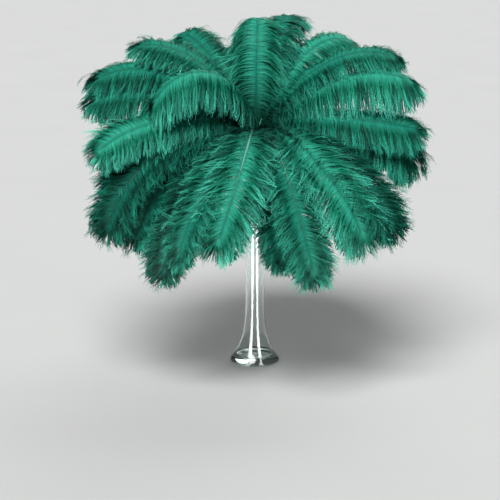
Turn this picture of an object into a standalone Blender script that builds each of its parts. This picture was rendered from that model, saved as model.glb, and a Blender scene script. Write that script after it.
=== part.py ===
"""Ostrich feather arrangement: dyed plumes standing in a tall clear glass trumpet vase.

Sizes are in millimetres and become metres when a mesh is made, with +Z up. The origin is the
middle of the foot's flat underside, and -Y is the arrangement's front.
"""

import math
from collections import namedtuple

import bmesh
import bpy
import numpy as np
from mathutils import Vector
from mathutils.bvhtree import BVHTree

MM = 0.001
OBJECT_NAME = "ostrich_feather_arrangement"

# Vase: a trumpet with a spreading foot, a long straight neck and a flared mouth.
VASE_HEIGHT = 508.0
FOOT_RADIUS = 55.0
FOOT_EDGE_HEIGHT = 4.0
FOOT_EDGE_ROUND = 4.0
FOOT_FALL = 42.0        # height over which the foot draws in to the neck
FOOT_FALL_POWER = 1.2
NECK_RADIUS = 21.0
MOUTH_START = 400.0
MOUTH_RADIUS = 45.0
MOUTH_POWER = 2.2
GLASS_WALL = 3.0
GLASS_FLOOR = 10.0      # thickness of the solid glass under the hollow
VASE_SEGMENTS = 32
INNER_BOTTOM = 18.0     # height at which the hollow's side begins

# Feathers: each quill stands straight in the neck and bends once it is near the mouth.
QUILL_BOTTOM = 378.0
QUILL_UNEVEN = 50.0     # quills are cut by hand: the shortest ends this much higher up
BEND_START = 495.0
BEND_LENGTH = 60.0      # distance over which the first, quick part of the bend is spent
QUILL_RADIUS = 2.0
SHAFT_TIP_RADIUS = 0.8
RING_RADII = {"upright": 5.0, "arching": 10.0, "drooping": 15.3}

# Vane: the share of the feather's length where it starts, is full, and rounds off.
VANE_ROOT = 0.10
VANE_FULL = 0.44
VANE_ROUND = 0.72
VANE_ROOT_WIDTH = 0.30
VANE_TIP_REACH = 1.02   # the rounded end would close just past the shaft's own end
VANE_LIFT = math.radians(12.0)
VANE_MIDDLE = 0.5
VANE_MIDDLE_HALF_THICKNESS = 0.7
DRAPE_SPAN = 75.0       # distance from the shaft at which the drape reaches its stated pull

STATIONS = 12
RING_POINTS = 8
OUTWARD_CORNERS = (0, 1, 4, 5)  # corners of a ring whose next corner lies further from the shaft
OUTER_CORNERS = (1, 2, 5, 6)    # corners whose edge to the next lies on the vane's outer part
ROUND_DIAGONAL = math.sqrt(0.5)  # a bare quill's middle points, as a share of its radius
STATION_SPREAD = 1.15
LINE_STEPS = 200
DRAPE_STEPS = 6

# Room kept between neighbours, and how a vane is narrowed until it has that room.
CLEARANCE = 0.35
TRIM_STEP = 0.88
TRIM_LEAST = 0.03
TRIM_ROUNDS = 80

# heading: direction of the lean, degrees from +X towards +Y, and how far it swings by the tip
# lean: degrees from upright at the tip;  snap: share of the lean spent near the mouth
# late: power of the rest of the lean;  length: from the bend's start to the tip
# roll: degrees the vane turns about its shaft by the tip
# reach: half width of the full vane;  drape: how strongly the vane hangs
Plume = namedtuple("Plume", "group heading swing lean snap late length roll reach drape")

PLUMES = (
    Plume("upright", 87, 0, 122, 0.04, 4.0, 328, 0, 74, 0.5),
    Plume("upright", 60, 13, 132, 0.17, 4.0, 374, 0, 64, 0.9),
    Plume("upright", 143, -24, 92, 0.45, 3.0, 352, -35, 66, 1.1),
    Plume("upright", 168, 8, 107, 0.38, 2.6, 372, -28, 62, 1.1),
    Plume("upright", 26, 11, 134, 0.29, 3.5, 380, 28, 64, 1.1),
    Plume("upright", 100, -8, 122, 0.34, 2.2, 388, 0, 64, 1.1),
    Plume("arching", 0, -7, 128, 0.37, 3.0, 404, 28, 62, 1.1),
    Plume("arching", -11, 2, 124, 0.50, 3.1, 410, 22, 88, 2.2),
    Plume("arching", -25, 32, 106, 0.88, 3.5, 398, 42, 62, 1.0),
    Plume("arching", -17, 15, 172, 0.555, 4.5, 412, 42, 78, 1.3),
    Plume("arching", 180, 6, 127, 0.46, 2.7, 418, -35, 74, 1.2),
    Plume("arching", 187, 0, 121, 0.61, 3.0, 402, -40, 70, 1.0),
    Plume("arching", -152, -21, 168, 0.00, 1.35, 368, -18, 92, 2.4),
    Plume("arching", -158, -5, 141, 0.67, 3.7, 406, -42, 66, 0.8),
    Plume("arching", 52, -6, 138, 0.45, 2.4, 418, 10, 66, 0.9),
    Plume("arching", 80, 4, 150, 0.46, 2.4, 412, 0, 66, 0.9),
    Plume("arching", 120, -4, 144, 0.42, 2.4, 415, -8, 66, 0.9),
    Plume("arching", 152, 6, 138, 0.48, 2.4, 412, -10, 66, 0.9),
    Plume("drooping", -60, 33, 170, 0.70, 3.5, 446, 30, 80, 1.0),
    Plume("drooping", -51, 36, 170, 0.68, 4.0, 468, 35, 64, 1.0),
    Plume("drooping", -95, -43, 164, 0.75, 2.1, 406, -6, 76, 0.7),
    Plume("drooping", -82, 24, 172, 0.82, 2.0, 396, 0, 58, 0.7),
    Plume("drooping", -76, 18, 163, 0.77, 2.3, 490, 10, 58, 0.7),
    Plume("drooping", -113, -33, 175, 0.73, 3.0, 446, -15, 50, 0.7),
    Plume("drooping", -128, -3, 164, 0.81, 1.8, 464, -25, 56, 0.8),
    Plume("drooping", -149, -1, 164, 0.78, 2.1, 418, -35, 60, 0.9),
    Plume("drooping", -151, 3, 174, 0.64, 2.5, 470, -35, 64, 0.9),
    Plume("drooping", -153, 15, 172, 0.46, 1.0, 357, -20, 84, 1.5),
    Plume("drooping", -158, -2, 160, 0.66, 3.0, 402, -30, 64, 0.9),
    Plume("drooping", 12, 4, 162, 0.62, 2.2, 400, 10, 64, 0.9),
    Plume("drooping", 38, 6, 164, 0.6, 2.2, 436, 6, 66, 0.9),
    Plume("drooping", 70, -4, 163, 0.58, 2.2, 430, 0, 66, 0.9),
    Plume("drooping", 104, 5, 164, 0.6, 2.2, 432, -5, 66, 0.9),
    Plume("drooping", 138, -6, 163, 0.62, 2.2, 436, -10, 66, 0.9),
)


def clear_scene():
    for thing in list(bpy.data.objects):
        bpy.data.objects.remove(thing, do_unlink=True)


def new_collection(name):
    collection = bpy.data.collections.new(name)
    bpy.context.scene.collection.children.link(collection)
    return collection


def finish(name, colour, roughness, transmission=0.0):
    """A piece's own Principled material."""
    material = bpy.data.materials.new(name)
    material.use_nodes = True
    shader = material.node_tree.nodes["Principled BSDF"]
    shader.inputs["Base Color"].default_value = (*colour, 1.0)
    shader.inputs["Roughness"].default_value = roughness
    shader.inputs["Metallic"].default_value = 0.0
    shader.inputs["Transmission Weight"].default_value = transmission
    return material


# ---------------------------------------------------------------- vase

def outer_radius(height):
    """The vase's outside: foot below, neck, then the trumpet mouth."""
    fall = max(height - FOOT_EDGE_HEIGHT, 0.0) / FOOT_FALL
    foot = (FOOT_RADIUS - NECK_RADIUS) * math.exp(-fall ** FOOT_FALL_POWER)
    rise = max(height - MOUTH_START, 0.0) / (VASE_HEIGHT - MOUTH_START)
    return NECK_RADIUS + foot + (MOUTH_RADIUS - NECK_RADIUS) * rise ** MOUTH_POWER


def vase_outline():
    """(radius, height) points: the hollow from its centre up, the rim, then down the outside."""
    wall_heights = [INNER_BOTTOM, 29, 44, 62, 88, 125, MOUTH_START, 445, 478]
    outside_heights = [478, 445, MOUTH_START, 135, 98, 72, 55, 41, 29, 19, 11, FOOT_EDGE_HEIGHT]
    rim_round = GLASS_WALL / 2
    rim_centre = VASE_HEIGHT - rim_round
    points = [(0.0, GLASS_FLOOR)]
    floor_radius = outer_radius(INNER_BOTTOM) - GLASS_WALL
    points.append((floor_radius * 0.80, GLASS_FLOOR + 0.6))
    points.append((floor_radius * 0.95, GLASS_FLOOR + 3.0))
    points += [(outer_radius(height) - GLASS_WALL, height) for height in wall_heights]
    for step in range(5):
        angle = math.pi * (1.0 - step / 4)
        radius = MOUTH_RADIUS - rim_round + rim_round * math.cos(angle)
        points.append((radius, rim_centre + rim_round * math.sin(angle)))
    points += [(outer_radius(height), height) for height in outside_heights]
    for step in range(1, 4):
        angle = math.radians(90 * step / 3)
        inset = FOOT_EDGE_ROUND * (1.0 - math.cos(angle))
        points.append((FOOT_RADIUS - inset, FOOT_EDGE_HEIGHT - FOOT_EDGE_ROUND * math.sin(angle)))
    points.append((0.0, 0.0))
    return points


def build_vase(collection):
    """The outline turned about Z by a Screw modifier."""
    mesh = bpy.data.meshes.new("vase")
    points = [(radius * MM, 0.0, height * MM) for radius, height in vase_outline()]
    edges = [(index, index + 1) for index in range(len(points) - 1)]
    mesh.from_pydata(points, edges, [])
    vase = bpy.data.objects.new("vase", mesh)
    collection.objects.link(vase)
    screw = vase.modifiers.new("turn", "SCREW")
    screw.steps = VASE_SEGMENTS
    screw.render_steps = VASE_SEGMENTS
    screw.use_merge_vertices = True
    screw.merge_threshold = 0.00005
    screw.use_smooth_shade = True
    mesh.materials.append(finish("vase_clear_glass", (0.95, 0.97, 0.97), 0.03, transmission=1.0))
    return vase


# ---------------------------------------------------------------- feathers

def quill_slots():
    """Where each quill stands in the neck: even places round its ring, in order of heading."""
    slots = {}
    for group, ring_radius in RING_RADII.items():
        members = [index for index, plume in enumerate(PLUMES) if plume.group == group]
        members.sort(key=lambda index: PLUMES[index].heading % 360)
        pitch = 2 * math.pi / len(members)
        turns = [math.radians(PLUMES[index].heading % 360) - order * pitch
                 for order, index in enumerate(members)]
        start = math.atan2(sum(map(math.sin, turns)), sum(map(math.cos, turns)))
        for order, index in enumerate(members):
            angle = start + order * pitch
            slots[index] = (ring_radius * math.cos(angle), ring_radius * math.sin(angle))
    return slots


def quill_bottom(slot):
    """Height of a quill's cut end, which differs from one place in the neck to the next."""
    return QUILL_BOTTOM + QUILL_UNEVEN * (0.5 + 0.5 * math.sin(1.7 * slot[0] + 2.3 * slot[1]))


def centre_line(plume, slot):
    """Fine points, run directions and side directions of the shaft above the bend's start."""
    run = np.linspace(0.0, plume.length, LINE_STEPS + 1)
    share = run / plume.length
    quick = (1 - np.exp(-run / BEND_LENGTH)) / (1 - math.exp(-plume.length / BEND_LENGTH))
    lean = math.radians(plume.lean) * (plume.snap * quick + (1 - plume.snap) * share ** plume.late)
    heading = np.radians(plume.heading + plume.swing * share ** 2)
    along = np.stack([np.sin(lean) * np.cos(heading), np.sin(lean) * np.sin(heading), np.cos(lean)], 1)
    level = np.stack([-np.sin(heading), np.cos(heading), np.zeros_like(heading)], 1)
    roll = np.radians(plume.roll * share * (2 - share))[:, None]
    side = level * np.cos(roll) + np.cross(along, level) * np.sin(roll)
    steps = (along[1:] + along[:-1]) / 2 * (plume.length / LINE_STEPS)
    points = np.vstack([np.zeros(3), np.cumsum(steps, axis=0)])
    return run, points + np.array([*slot, BEND_START]), along, side


def vane_half_width(plume, share):
    """Half width of the vane at a share of the feather's length."""
    if share < VANE_ROOT:
        return 0.0
    rise = min((share - VANE_ROOT) / (VANE_FULL - VANE_ROOT), 1.0)
    width = VANE_ROOT_WIDTH + (1 - VANE_ROOT_WIDTH) * rise * rise * (3 - 2 * rise)
    past = max(share - VANE_ROUND, 0.0) / (VANE_TIP_REACH - VANE_ROUND)
    return plume.reach * width * math.sqrt(1 - past * past)


def vane_edge(plume, out, up, distance):
    """Place and direction on the vane at a distance out from the shaft, under its own drape."""
    place = np.zeros(3)
    start = out * math.cos(VANE_LIFT) + up * math.sin(VANE_LIFT)
    step = distance / DRAPE_STEPS
    for index in range(DRAPE_STEPS):
        pull = plume.drape * (index + 0.5) * step / DRAPE_SPAN
        direction = start - np.array([0.0, 0.0, pull])
        direction /= np.linalg.norm(direction)
        place += direction * step
    return place, direction


def cross_section(plume, point, along, side, shaft_radius, widths, swell):
    """Eight points round the feather: shaft top and bottom, and a middle and an edge each side."""
    up = np.cross(along, side)
    top = point + up * (shaft_radius + swell)
    bottom = point - up * (shaft_radius + swell)
    halves = []
    for sign, width in ((1.0, widths[0]), (-1.0, widths[1])):
        width = max(width, shaft_radius) + swell
        bare = min(shaft_radius / width, 1.0)
        middle_share = VANE_MIDDLE * (1 - bare) + ROUND_DIAGONAL * bare
        out = sign * side
        middle, direction = vane_edge(plume, out, up, width * middle_share)
        normal = sign * np.cross(along, direction)
        normal /= np.linalg.norm(normal)
        thick = VANE_MIDDLE_HALF_THICKNESS * (1 - bare) + ROUND_DIAGONAL * shaft_radius * bare + swell
        edge, _ = vane_edge(plume, out, up, width)
        halves.append((point + middle + normal * thick, point + edge, point + middle - normal * thick))
    right, left = halves
    return [top, right[0], right[1], right[2], bottom, left[2], left[1], left[0]]


def feather_rings(plume, slot, trims, swell=0.0):
    """Cross sections from the quill's foot to the tip; trims narrow each side at each station."""
    run, points, along, side = centre_line(plume, slot)
    foot = points[0] + np.array([0.0, 0.0, quill_bottom(slot) - BEND_START])
    rings = [cross_section(plume, foot, along[0], side[0], QUILL_RADIUS, (0.0, 0.0), swell)]
    for station in range(STATIONS + 1):
        share = (station / STATIONS) ** STATION_SPREAD
        at = share * plume.length
        point, direction, across = (
            np.array([np.interp(at, run, line[:, axis]) for axis in range(3)])
            for line in (points, along, side))
        direction /= np.linalg.norm(direction)
        across /= np.linalg.norm(across)
        shaft_radius = QUILL_RADIUS + (SHAFT_TIP_RADIUS - QUILL_RADIUS) * share
        widths = vane_half_width(plume, share) * trims[station]
        rings.append(cross_section(plume, point, direction, across, shaft_radius, widths, swell))
    return np.array(rings)


def loft_faces(ring_count):
    """Triangles between neighbouring rings, then a fan over each end.

    A bay's upper and lower faces are cut along the same diagonal, from the shaft out to the
    next ring's edge, so that a twisted bay keeps its thickness.
    """
    faces = []
    for ring in range(ring_count - 1):
        for corner in range(RING_POINTS):
            following = (corner + 1) % RING_POINTS
            low, low_next = ring * RING_POINTS + corner, ring * RING_POINTS + following
            high, high_next = low + RING_POINTS, low_next + RING_POINTS
            if corner in OUTWARD_CORNERS:
                faces += [(low, low_next, high_next), (low, high_next, high)]
            else:
                faces += [(low, low_next, high), (low_next, high_next, high)]
    last = (ring_count - 1) * RING_POINTS
    for corner in range(1, RING_POINTS - 1):
        faces.append((0, corner + 1, corner))
        faces.append((last, last + corner, last + corner + 1))
    return faces


FACES = loft_faces(STATIONS + 2)


def face_place(face):
    """The station, side (0 right, 1 left) and whether a face lies on the vane's outer part."""
    bay, triangle = divmod(face, 2 * RING_POINTS)
    corner = triangle // 2
    side = 0 if corner < RING_POINTS // 2 else 1
    return min(bay, STATIONS + 1) - 1, side, corner in OUTER_CORNERS


def narrow(trims, face):
    """Take some width off both stations that bound a face; False when none is left to take."""
    station, side, _ = face_place(face)
    took = False
    for near in (station, station + 1):
        if 0 <= near <= STATIONS and trims[near, side] > 0:
            trims[near, side] *= TRIM_STEP
            if trims[near, side] < TRIM_LEAST:
                trims[near, side] = 0.0
            took = True
    return took


def fitted_trims(slots, obstacle):
    """Narrow the vanes wherever two feathers, or a feather and the vase, would touch."""
    trims = [np.ones((STATIONS + 1, 2)) for _ in PLUMES]
    for _ in range(TRIM_ROUNDS):
        trees = []
        for index, plume in enumerate(PLUMES):
            rings = feather_rings(plume, slots[index], trims[index], swell=CLEARANCE / 2)
            trees.append(BVHTree.FromPolygons([Vector(p) for p in rings.reshape(-1, 3)], FACES))
        clear = True
        for index, tree in enumerate(trees):
            for face in {pair[0] for pair in tree.overlap(obstacle)}:
                narrow(trims[index], face)
                clear = False
            for other in range(index):
                for mine, theirs in set(tree.overlap(trees[other])):
                    clear = False
                    first, second = (index, mine), (other, theirs)
                    if face_place(theirs)[2] and not face_place(mine)[2]:
                        first, second = second, first
                    if not narrow(trims[first[0]], first[1]):
                        narrow(trims[second[0]], second[1])
        if clear:
            return trims
    raise RuntimeError("two feathers still touch: their shafts cross")


def build_feathers(collection, slots, trims):
    counts = dict.fromkeys(RING_RADII, 0)
    for index, plume in enumerate(PLUMES):
        counts[plume.group] += 1
        name = f"feather_{plume.group}_{counts[plume.group]:02d}"
        rings = feather_rings(plume, slots[index], trims[index])
        mesh = bpy.data.meshes.new(name)
        mesh.from_pydata((rings.reshape(-1, 3) * MM).tolist(), [], FACES)
        surface = bmesh.new()
        surface.from_mesh(mesh)
        bmesh.ops.recalc_face_normals(surface, faces=surface.faces)
        surface.to_mesh(mesh)
        surface.free()
        mesh.materials.append(finish(name + "_dyed_vane", (0.02, 0.32, 0.20), 0.7))
        collection.objects.link(bpy.data.objects.new(name, mesh))


def vase_obstacle(vase):
    """The vase's evaluated surface in millimetres, for the clearance test."""
    evaluated = vase.evaluated_get(bpy.context.evaluated_depsgraph_get())
    mesh = evaluated.to_mesh()
    corners = [vertex.co / MM for vertex in mesh.vertices]
    faces = [tuple(polygon.vertices) for polygon in mesh.polygons]
    evaluated.to_mesh_clear()
    return BVHTree.FromPolygons(corners, faces)


def main():
    clear_scene()
    collection = new_collection(OBJECT_NAME)
    vase = build_vase(collection)
    slots = quill_slots()
    trims = fitted_trims(slots, vase_obstacle(vase))
    build_feathers(collection, slots, trims)


main()
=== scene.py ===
"""Looks of a dyed ostrich feather arrangement in a tall clear glass trumpet vase.

Sizes are in millimetres and become metres when a mesh is made, with +Z up. The plumes stand
where the frame's feather solids stand, and every plume's barbs ride on its own shaft.
"""

import math
from collections import namedtuple

import bmesh
import bpy
import numpy as np
from bpy.props import FloatProperty, FloatVectorProperty, IntProperty, PointerProperty
from bpy.types import Operator, Panel, PropertyGroup
from mathutils import Matrix, Vector


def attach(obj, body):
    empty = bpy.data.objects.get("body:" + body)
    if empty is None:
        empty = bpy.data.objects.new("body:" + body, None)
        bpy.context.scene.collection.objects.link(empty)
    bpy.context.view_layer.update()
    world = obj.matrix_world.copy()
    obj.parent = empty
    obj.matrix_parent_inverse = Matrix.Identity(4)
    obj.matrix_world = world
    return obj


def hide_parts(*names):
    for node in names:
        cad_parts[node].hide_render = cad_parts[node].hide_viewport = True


bl_info = {
    "name": "Ostrich Plume Arrangement",
    "version": (1, 0, 0),
    "blender": (4, 5, 0),
    "location": "3D View > Sidebar > Plumes",
    "description": "Builds a vase of drooping dyed ostrich plumes",
    "category": "Object",
}

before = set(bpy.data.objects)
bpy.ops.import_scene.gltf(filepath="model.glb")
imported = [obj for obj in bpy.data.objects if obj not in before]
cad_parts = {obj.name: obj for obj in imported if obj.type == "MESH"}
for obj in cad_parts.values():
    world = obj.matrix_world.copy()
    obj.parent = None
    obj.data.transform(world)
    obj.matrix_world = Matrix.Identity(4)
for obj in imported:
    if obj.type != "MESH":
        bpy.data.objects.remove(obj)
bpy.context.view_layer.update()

MM = 0.001

# ---------------------------------------- how the plumes lie

QUILL_BOTTOM = 378.0
QUILL_UNEVEN = 50.0     # quills are cut by hand: the shortest ends this much higher up
UNEVEN_WAVES = (1.7, 2.3)   # radians a mm across the neck, so that neighbours differ
BEND_START = 495.0      # a quill is straight up to here, just under the rim
BEND_LENGTH = 60.0      # distance over which the first, quick part of the bend is spent
RING_RADII = {"upright": 5.0, "arching": 10.0, "drooping": 15.3}
LINE_STEPS = 200
FIRST_SEED = 100

# heading: direction of the lean, degrees from +X towards +Y;  swing: how far it turns by the tip
# lean: degrees from upright at the tip;  snap: share of the lean spent near the mouth
# late: power of the rest of the lean;  length: from the bend's start to the tip
# roll: degrees the vane turns about its shaft by the tip
# reach: length of the full barbs;  drape: how strongly they hang
# tone: which dye lot, and a lit or shaded copy: bright paints light on plumes in front, deep
# paints shade on plumes set back;  shaft: how its shaft took the dye
Plume = namedtuple("Plume", "group heading swing lean snap late length roll reach drape tone shaft")

PLUMES = (
    Plume("upright", 87, 0, 122, 0.04, 4.0, 328, 0, 86, 1.7, "bright", "dark"),
    Plume("upright", 60, 13, 132, 0.17, 4.0, 374, 0, 70, 1.4, "mid", "dark"),
    Plume("upright", 143, -24, 92, 0.45, 3.0, 352, -35, 72, 1.1, "mid", "dark"),
    Plume("upright", 168, 8, 107, 0.38, 2.6, 372, -28, 70, 1.1, "mid", "dyed"),
    Plume("upright", 26, 11, 134, 0.29, 3.5, 380, 28, 72, 1.1, "bright", "dyed"),
    Plume("upright", 100, -8, 122, 0.34, 2.2, 388, 0, 70, 1.1, "mid", "dark"),
    Plume("arching", 0, -7, 128, 0.37, 3.0, 404, 28, 70, 1.1, "mid", "dark"),
    Plume("arching", -11, 2, 124, 0.50, 3.1, 410, 22, 100, 2.2, "bright", "dark"),
    Plume("arching", -25, 32, 106, 0.88, 3.5, 398, 42, 76, 1.0, "mid", "dyed"),
    Plume("arching", -17, 15, 172, 0.555, 4.5, 412, 42, 97, 1.3, "mid", "dyed"),
    Plume("arching", 180, 6, 127, 0.46, 2.7, 418, -35, 88, 1.2, "mid", "dyed"),
    Plume("arching", 187, 0, 121, 0.61, 3.0, 402, -40, 78, 1.0, "mid", "dark"),
    Plume("arching", -152, -21, 168, 0.00, 1.35, 368, -18, 95, 2.4, "bright", "dyed"),
    Plume("arching", -158, -5, 141, 0.67, 3.7, 406, -42, 72, 0.8, "bright", "dyed"),
    Plume("arching", 52, -6, 138, 0.45, 2.4, 418, 10, 72, 0.9, "deep", "dark"),
    Plume("arching", 80, 4, 150, 0.46, 2.4, 412, 0, 72, 0.9, "mid", "dark"),
    Plume("arching", 120, -4, 144, 0.42, 2.4, 415, -8, 72, 0.9, "mid", "dark"),
    Plume("arching", 152, 6, 138, 0.48, 2.4, 412, -10, 72, 0.9, "deep", "dark"),
    Plume("drooping", -60, 33, 170, 0.70, 3.5, 446, 30, 88, 1.0, "bright", "dark"),
    Plume("drooping", -51, 36, 170, 0.68, 4.0, 468, 35, 72, 1.0, "deep", "dark"),
    Plume("drooping", -95, -43, 164, 0.75, 2.1, 406, -6, 86, 0.7, "bright", "pale"),
    Plume("drooping", -82, 24, 172, 0.82, 2.0, 396, 0, 64, 0.7, "mid", "grey"),
    Plume("drooping", -76, 18, 163, 0.77, 2.3, 490, 10, 64, 0.7, "mid", "grey"),
    Plume("drooping", -113, -33, 175, 0.73, 3.0, 446, -15, 56, 0.7, "mid", "grey"),
    Plume("drooping", -128, -3, 164, 0.81, 1.8, 464, -25, 62, 0.8, "deep", "dark"),
    Plume("drooping", -149, -1, 164, 0.78, 2.1, 418, -35, 66, 0.9, "mid", "dark"),
    Plume("drooping", -151, 3, 174, 0.64, 2.5, 470, -35, 70, 0.9, "deep", "grey"),
    Plume("drooping", -153, 15, 172, 0.46, 1.0, 357, -20, 90, 1.5, "deep", "dark"),
    Plume("drooping", -158, -2, 160, 0.66, 3.0, 402, -30, 70, 0.9, "mid", "dark"),
    Plume("drooping", 12, 4, 162, 0.62, 2.2, 400, 10, 70, 0.9, "deep", "dark"),
    Plume("drooping", 38, 6, 164, 0.6, 2.2, 436, 6, 72, 0.9, "mid", "dark"),
    Plume("drooping", 70, -4, 163, 0.58, 2.2, 430, 0, 72, 0.9, "mid", "dark"),
    Plume("drooping", 104, 5, 164, 0.6, 2.2, 432, -5, 72, 0.9, "deep", "dark"),
    Plume("drooping", 138, -6, 163, 0.62, 2.2, 436, -10, 72, 0.9, "mid", "dark"),
)

# How the barbs grow: at these shares of the plume's length they have these lengths (as a share
# of the full reach) and leave the shaft at these angles.
GROWTH_AT = (0.06, 0.14, 0.26, 0.42, 0.74, 0.84, 0.90, 0.922, 0.935)
GROWTH_LENGTH = (0.35, 0.58, 0.85, 1.00, 1.00, 0.97, 0.86, 0.73, 0.62)
GROWTH_ANGLE = (85.0, 84.0, 82.0, 79.0, 75.0, 69.0, 55.0, 34.0, 4.0)
CROWDING_AT = (0.0, 0.70, 0.935)
CROWDING = (1.0, 1.0, 2.6)   # how much closer the barbs stand as they fan out at the tip
BARE_SHARE = 0.06       # the quill is bare up to here
SHAFT_END = 0.935       # and the shaft ends here, inside its last barbs
EXTRA_PULL = 0.3        # fluffed barbs hang a little more than the plain vane
DRAPE_SPAN = 75.0       # distance along a barb at which gravity has its stated pull
HANGING_SPREAD = 0.84   # barbs of a hanging plume lie closer to its shaft
HANGING_PULL = 0.4      # gravity, along the shaft there, bends them less
HANGING_WANDER = 1.7    # and they lie less evenly

# Locks: uneven groups of neighbouring barbs that lie together.
LOCK_WIDTHS = (0.55, 1.5)   # narrowest and widest, as shares of the usual width
LOCK_ROUNDING = 55.0    # degrees the barbs at a lock's edge turn away from its middle
LOCK_SWAY = 2.0         # how far a lock wanders from a smooth curve
LOCK_BULGE = 2.0        # how far a lock's middle stands above its edges
CLOSING_SPREAD, CLOSING_LIMITS = 0.3, (0.2, 1.5)    # how unevenly locks close at their tips
# a lock's end turns at random, on towards the plume's tip, and under
CURL_AT_RANDOM, CURL_AHEAD, CURL_UNDER = 0.6, 0.35, 0.45

# How far things stray, first what a whole lock shares and then what each barb adds.
ANGLE_STRAY = (1.6, 2.0)    # degrees along the vane
LIFT_STRAY = (2.6, 2.4)     # degrees out of it
PULL_STRAY, PULL_LIMITS = (0.18, 0.08), (0.3, 2.0)
LENGTH_STRAY, LENGTH_LIMITS = (0.04, 0.05), (0.7, 1.2)
CURL_STRAY, CURL_LIMITS = (0.5, 0.2), (0.0, 2.5)
BARB_TWIST = 0.15       # radians a barb's flat side turns at random
BARB_JITTER = 0.4       # share of its pitch by which a barb grows out of step
WAVE_TURNS = (6.0, 13.0)    # radians of a wandering barb's wave, fewest and most

# Along one barb, from the shaft at 0 to its tip at 1.
BARB_POINTS = 7
# powers of the way out, for the points' places, a lock's curl and its closing
POINT_POWER, CURL_POWER, CLOSING_POWER = 0.9, 2.5, 1.5
BARB_WIDTH_AT = (0.0, 0.2, 0.6, 1.0)
FUZZ_AT = (0.0, 0.12, 0.5, 1.0)
FUZZ = (0.35, 0.7, 1.0, 0.6)    # length of the fuzz, as a share
YOUNG_SHARES = (0.06, 0.3)  # along the plume, the barbs nearest the quill
YOUNG_FUZZ = (0.6, 1.0)     # have shorter fuzz

# The shaft thins along the plume.
SHAFT_POINTS = 40
SHAFT_SIDES = 8
SHAFT_AT = (0.0, 0.1, 0.5, SHAFT_END)
SHAFT_TAPER = (1.0, 0.92, 0.5, 0.18)
STOUT_SHARES = (0.05, 0.2)  # between these a bare quill turns into a plume's own shaft
QUILL_CUT = 2.0         # length of a quill's trimmed end
CUT_TAPER = 0.5         # and how narrow it is cut

# Fuzz: a hair's lean out of the barb's flat side, sideways and along the barb, least and most.
HAIR_LEAN = ((-0.35, 0.35, 0.9), (0.65, 0.9, 1.7))
HAIR_SIZES = (0.55, 1.35)   # shares of its full length

# The plume's own map: across it runs along a barb, up it along the shaft, in a strip for each part.
VANE_MAP = "OFBake"
MAP_STRIPS = {"locks": (0.0, 0.62), "under": (0.64, 0.96), "shaft": (0.98, 0.998)}
MAP_MARGIN = 0.02       # kept free at the map's edges
FIBRE_ON_MAP = 0.004    # how wide one fibre's cross-section is drawn there, so that it has an area
PART_CODES = {"locks": 0.0, "under": 1.0, "shaft": 2.0}

# A vane is two layers: broad, even barbs below, and fine barbs gathered in locks above them.
# pitch: spacing along the shaft;  width: of a barb at mid length
# root, tip: its width at the shaft and at its end, as shares of that;  length: share of the reach
# lift: degrees the barbs rise out of the vane at the shaft;  locks: how far a lock lies its own way
# clumping: how far a lock closes at its tip
# curl: how strongly a barb's end turns;  frizz: how far each barb wanders
Layer = namedtuple("Layer", "part pitch width root tip length lift locks clumping curl frizz")
LAYERS = (
    Layer("under", 1.75, 3.4, 0.7, 0.40, 0.92, 3.0, 0.0, 0.0, 0.6, 1.0),
    Layer("locks", 1.08, 0.9, 1.6, 0.5, 1.0, 7.0, 1.0, 0.45, 1.3, 1.0),
)

# ---------------------------------------- the vase, as its solid has it

VASE_SEGMENTS = 128
VASE_HEIGHT = 508.0
FOOT_RADIUS = 55.0
FOOT_EDGE_HEIGHT = 4.0
FOOT_EDGE_ROUND = 4.0
FOOT_FALL = 42.0        # height over which the foot narrows to the neck
FOOT_FALL_POWER = 1.2
FOOT_TOP = 150.0        # no flare is left above this
NECK_RADIUS = 21.0
MOUTH_START = 400.0
MOUTH_RADIUS = 45.0
MOUTH_POWER = 2.2
GLASS_WALL = 3.0
GLASS_FLOOR = 10.0
INNER_BOTTOM = 18.0     # the hollow's floor has curved up to its wall by here
INNER_POWER = 0.6       # how flat it lies before that
FOOT_STEPS = 24
FOOT_CROWDING = 1.5     # points stand closer low down, where the foot curves most
MOUTH_STEPS = 12
ROUND_STEPS = 8


# ---------------------------------------- small helpers

def linear(hex_colour):
    """An sRGB hex colour as linear red, green, blue and alpha."""
    channels = [int(hex_colour[i:i + 2], 16) / 255 for i in (1, 3, 5)]
    return tuple(c / 12.92 if c <= 0.04045 else ((c + 0.055) / 1.055) ** 2.4 for c in channels) + (1.0,)


def add_node(tree, kind, links=None, **settings):
    """One node: settings are its properties, links its inputs, each a value or another's output."""
    node = tree.nodes.new(kind)
    for name, value in settings.items():
        setattr(node, name, value)
    for key, value in (links or {}).items():
        socket = node.inputs[key]
        if isinstance(value, bpy.types.NodeSocket):
            tree.links.new(value, socket)
        else:
            socket.default_value = value
    return node


def remap(tree, value, start, end, low=0.0, high=1.0, **settings):
    """A value that runs from low to high while the given one runs from start to end."""
    links = {0: value, 1: start, 2: end, 3: low, 4: high}
    return add_node(tree, "ShaderNodeMapRange", links, **settings).outputs[0]


def new_material(name, looks):
    """A material with a Principled shader that has these looks, wired to its output."""
    material = bpy.data.materials.new(name)
    material.use_nodes = True
    tree = material.node_tree
    tree.nodes.clear()
    shader = add_node(tree, "ShaderNodeBsdfPrincipled", looks)
    add_node(tree, "ShaderNodeOutputMaterial", {"Surface": shader.outputs[0]})
    return material, tree, shader


def in_mm(length):
    """A property's length in millimetres, without the noise of its single precision."""
    return round(length / MM, 3)


def unit(vectors):
    return vectors / np.linalg.norm(vectors, axis=-1, keepdims=True)
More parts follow.
